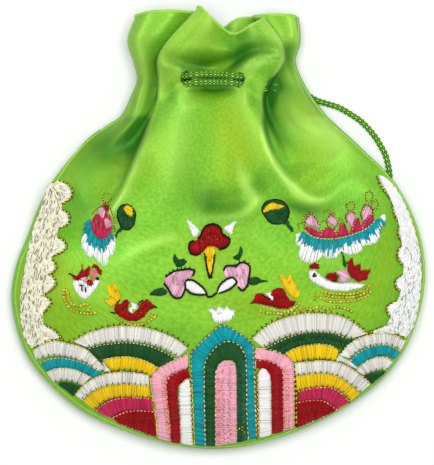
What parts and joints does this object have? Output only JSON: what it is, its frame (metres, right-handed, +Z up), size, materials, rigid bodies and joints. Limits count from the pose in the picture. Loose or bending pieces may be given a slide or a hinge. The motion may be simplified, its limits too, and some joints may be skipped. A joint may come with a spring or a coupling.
{
  "type": "drawstring charm pouch",
  "caption": "Round satin drawstring pouch with a gathered neck, a braided cord loop and raised embroidered waves, rocks, clouds, lotus and birds.",
  "frame": {"origin": "on the floor under the middle of the pouch's own box, its cord left out, as it lies on its back", "axes": "+X across the pouch, +Y along it towards the mouth, +Z up off the floor"},
  "size_m": [0.1297, 0.1382, 0.0247],
  "materials": {
    "green_satin": "glossy silk satin",
    "drawcord_green": "braided cord",
    "thread_cream": "satin stitch thread",
    "thread_white": "satin stitch thread",
    "thread_teal": "satin stitch thread",
    "thread_dark_green": "satin stitch thread",
    "thread_yellow": "satin stitch thread",
    "thread_magenta": "satin stitch thread",
    "thread_dark_red": "satin stitch thread",
    "thread_red": "satin stitch thread",
    "thread_pink": "satin stitch thread"
  },
  "bodies": {
    "root": {"front_panel": "green_satin", "back_panel": "green_satin", "drawcord_loop": "drawcord_green", "drawcord_neck": "drawcord_green", "wave_left_top_white": "thread_white", "wave_left_top_green": "thread_dark_green", "wave_left_top_yellow": "thread_yellow", "wave_side_left_white": "thread_white", "wave_side_left_teal": "thread_teal", "wave_side_left_inner_white": "thread_white", "wave_low_left_white": "thread_white", "wave_low_left_yellow": "thread_yellow", "wave_low_left_magenta": "thread_magenta", "wave_low_left_red": "thread_dark_red", "wave_right_top_white": "thread_white", "wave_right_top_green": "thread_dark_green", "wave_right_top_yellow": "thread_yellow", "wave_side_right_white": "thread_white", "wave_side_right_teal": "thread_teal", "wave_side_right_inner_white": "thread_white", "wave_low_right_white": "thread_white", "wave_low_right_yellow": "thread_yellow", "wave_low_right_magenta": "thread_magenta", "wave_low_right_red": "thread_dark_red", "rock_left_pink": "thread_pink", "rock_left_red": "thread_dark_red", "rock_left_white": "thread_white", "rock_middle_teal": "thread_teal", "rock_middle_green": "thread_dark_green", "rock_middle_pink": "thread_pink", "rock_right_white": "thread_white", "rock_right_red": "thread_dark_red", "rock_right_pink": "thread_pink", "cloud_left": "thread_cream", "cloud_right": "thread_white", "lotus_left_bud": "thread_magenta", "lotus_left_teal": "thread_teal", "lotus_left_fringe": "thread_white", "seed_pod_left": "thread_dark_green", "duck_left_feathers": "thread_red", "duck_left_body": "thread_white", "bird_left_tail": "thread_yellow", "bird_left_body": "thread_red", "bud_middle_white": "thread_white", "flower_middle_red": "thread_red", "flower_middle_drop": "thread_yellow", "flower_left_pink": "thread_pink", "flower_right_pink": "thread_pink", "bird_right_tail": "thread_yellow", "bird_right_body": "thread_red", "seed_pod_right": "thread_dark_green", "lotus_right_petals": "thread_pink", "lotus_right_teal": "thread_teal", "lotus_right_fringe": "thread_white", "duck_right_body": "thread_white", "duck_right_wing": "thread_red"}
  },
  "joints": []
}
